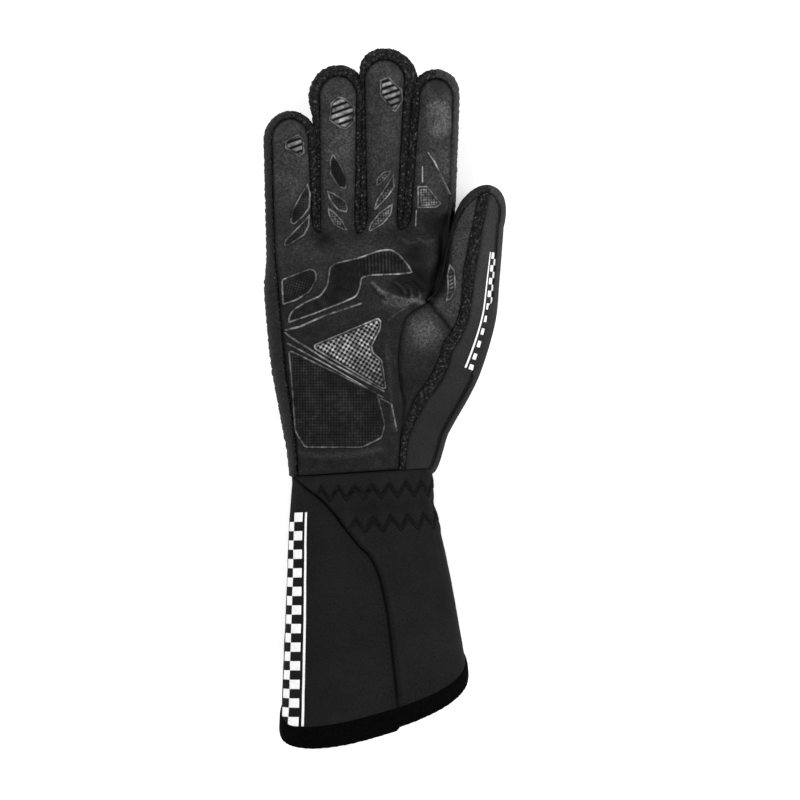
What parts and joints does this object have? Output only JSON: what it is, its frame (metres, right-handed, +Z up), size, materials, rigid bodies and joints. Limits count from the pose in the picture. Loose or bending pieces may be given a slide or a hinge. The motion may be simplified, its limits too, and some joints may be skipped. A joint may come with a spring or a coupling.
{
  "type": "karting glove",
  "caption": "Right-hand karting glove with a leather palm, raised grip pads, outside seams and a long flared fabric cuff, lying palm up on its back.",
  "frame": {"origin": "on the rest plane, under the middle of the hand's back fabric", "axes": "+X to the thumb side, +Y along the glove to the fingertips, +Z up out of the palm"},
  "size_m": [0.118, 0.3467, 0.0457],
  "materials": {
    "leather": "fine-grained black suede leather, matt",
    "knit_fabric": "smooth black stretch fabric",
    "seam_strip": "raw-edged black suede, fuzzy and very matt",
    "binding": "deep black soft pile binding",
    "grip": "moulded silicone with a dotted face and a raised rim, slightly glossy"
  },
  "bodies": {
    "root": {"palm_leather": "leather", "thumb_leather": "leather", "thumb_gusset": "leather", "thumb_back_fabric": "knit_fabric", "hand_back_fabric": "knit_fabric", "cuff_outer_panel": "knit_fabric", "cuff_inner_panel": "knit_fabric", "outer_edge_strip": "seam_strip", "pinky_ring_fourchette": "seam_strip", "ring_middle_fourchette": "seam_strip", "middle_index_fourchette": "seam_strip", "index_edge_strip": "seam_strip", "thumb_welt": "seam_strip", "hem_binding": "binding", "outer_palm_pad": "grip", "upper_palm_pad": "grip", "centre_palm_pad": "grip", "heel_palm_pad": "grip", "pinky_tip_pad": "grip", "ring_tip_pad": "grip", "middle_tip_pad": "grip", "index_tip_pad": "grip", "pinky_upper_leaf": "grip", "pinky_lower_leaf": "grip", "ring_upper_leaf": "grip", "ring_middle_leaf": "grip", "ring_lower_leaf": "grip", "middle_upper_leaf": "grip", "middle_middle_leaf": "grip", "middle_lower_leaf": "grip", "index_leaf": "grip", "thumb_pad": "grip"}
  },
  "joints": []
}
